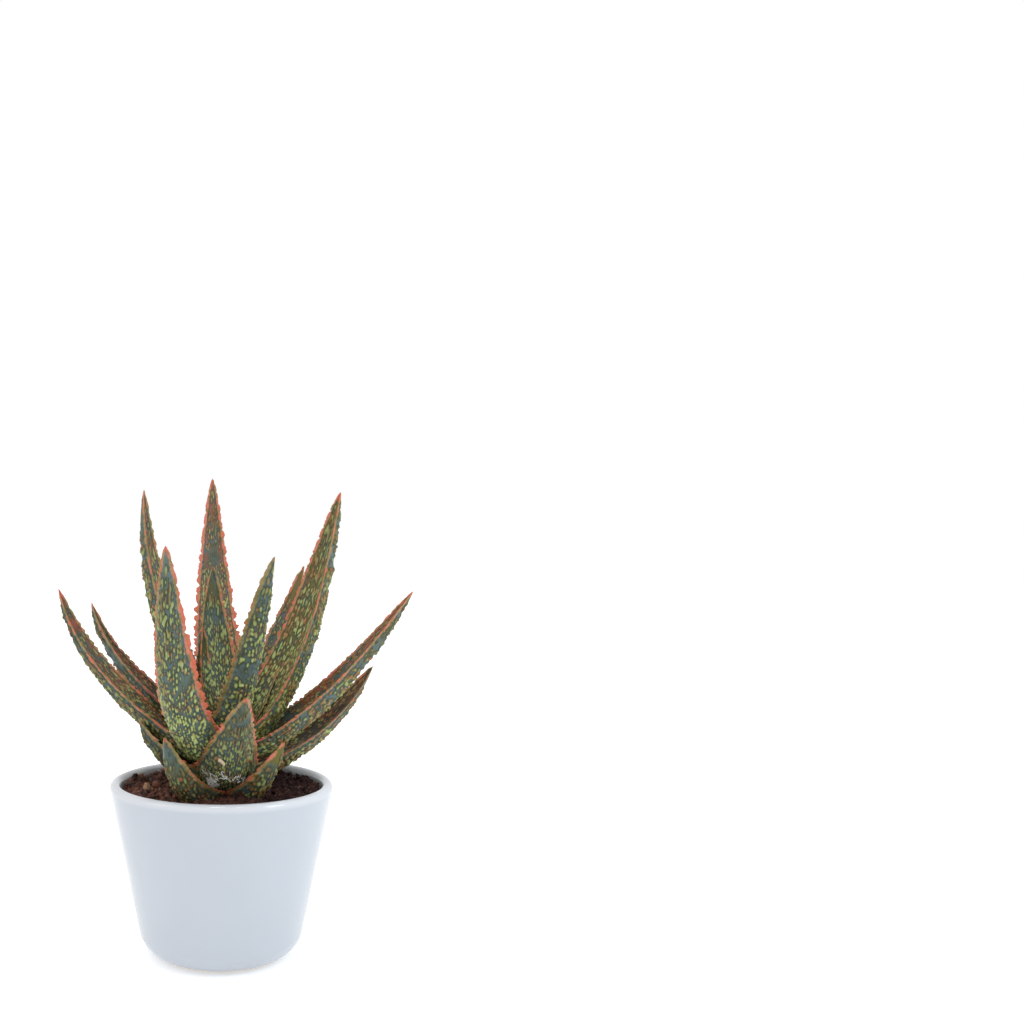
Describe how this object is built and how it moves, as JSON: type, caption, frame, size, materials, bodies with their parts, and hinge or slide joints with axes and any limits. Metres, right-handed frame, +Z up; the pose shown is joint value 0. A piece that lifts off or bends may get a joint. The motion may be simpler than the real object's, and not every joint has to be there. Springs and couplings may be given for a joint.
{
  "type": "potted aloe plant",
  "caption": "Spotted aloe rosette with long tapering leaves and toothed red margins, in soil in a round tapered white glazed pot with a rolled lip.",
  "frame": {"origin": "centre of the pot's flat underside", "axes": "+Z up, -Y towards the front, which is the side shown in the picture, +X to the right seen from the front"},
  "size_m": [0.2081, 0.2012, 0.2824],
  "materials": {
    "glaze": "smooth, glossy white glaze",
    "peat": "dark, crumbly and fibrous, matt",
    "stem": "smooth and matt, pale green",
    "leaf": "waxy blue-green with raised lime spots and coral-red margins and teeth"
  },
  "bodies": {
    "root": {"pot": "glaze", "soil": "peat", "stem": "stem", "leaf_heart": "leaf", "leaf_inner_left": "leaf", "leaf_inner_back": "leaf", "leaf_right_front": "leaf", "leaf_back_tall": "leaf", "leaf_left_front": "leaf", "leaf_right_tall": "leaf", "leaf_left_tall": "leaf", "leaf_right_back": "leaf", "leaf_front_short": "leaf", "leaf_right_outer": "leaf", "leaf_left_outer": "leaf", "leaf_left_back": "leaf", "leaf_rear_left": "leaf", "leaf_rear_right": "leaf", "leaf_right_low": "leaf", "leaf_left_low": "leaf", "leaf_front_left_low": "leaf", "leaf_front_right_low": "leaf", "leaf_rear_low": "leaf"}
  },
  "joints": []
}
